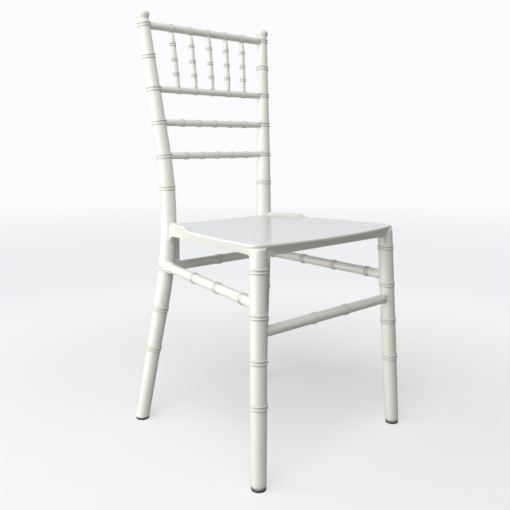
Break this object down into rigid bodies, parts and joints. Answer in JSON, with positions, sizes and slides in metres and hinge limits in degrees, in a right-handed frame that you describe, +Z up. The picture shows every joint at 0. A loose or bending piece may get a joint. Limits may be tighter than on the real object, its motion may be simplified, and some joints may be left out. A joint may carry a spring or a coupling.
{
  "type": "chiavari chair",
  "caption": "White moulded resin chiavari chair: bowed rear posts with finials, ringed rails, legs and stretchers, spindles fanned between two rails, flat panel seat, dark glides.",
  "frame": {"origin": "on the floor under the middle of the chair's plan", "axes": "+Z up, -Y towards the front edge of the seat, +X to the sitter's left as seen from behind the back, which is the viewer's right facing the chair's front"},
  "size_m": [0.4448, 0.441, 0.92],
  "materials": {
    "resin": "satin warm white",
    "seat_resin": "semi-gloss warm white",
    "glide_rubber": "matt dark grey"
  },
  "bodies": {
    "root": {"top_rail": "resin", "spindle_rail": "resin", "middle_rail": "resin", "lower_rail": "resin", "spindle_1": "resin", "spindle_2": "resin", "spindle_3": "resin", "spindle_4": "resin", "spindle_5": "resin", "seat_panel": "seat_resin", "front_apron": "resin", "rear_apron": "resin", "front_stretcher": "resin", "rear_stretcher": "resin", "rear_post_left": "resin", "rear_post_right": "resin", "front_leg_left": "resin", "front_leg_right": "resin", "side_apron_left": "resin", "side_apron_right": "resin", "side_stretcher_left": "resin", "side_stretcher_right": "resin", "front_glide_left": "glide_rubber", "front_glide_right": "glide_rubber", "rear_glide_left": "glide_rubber", "rear_glide_right": "glide_rubber"}
  },
  "joints": []
}
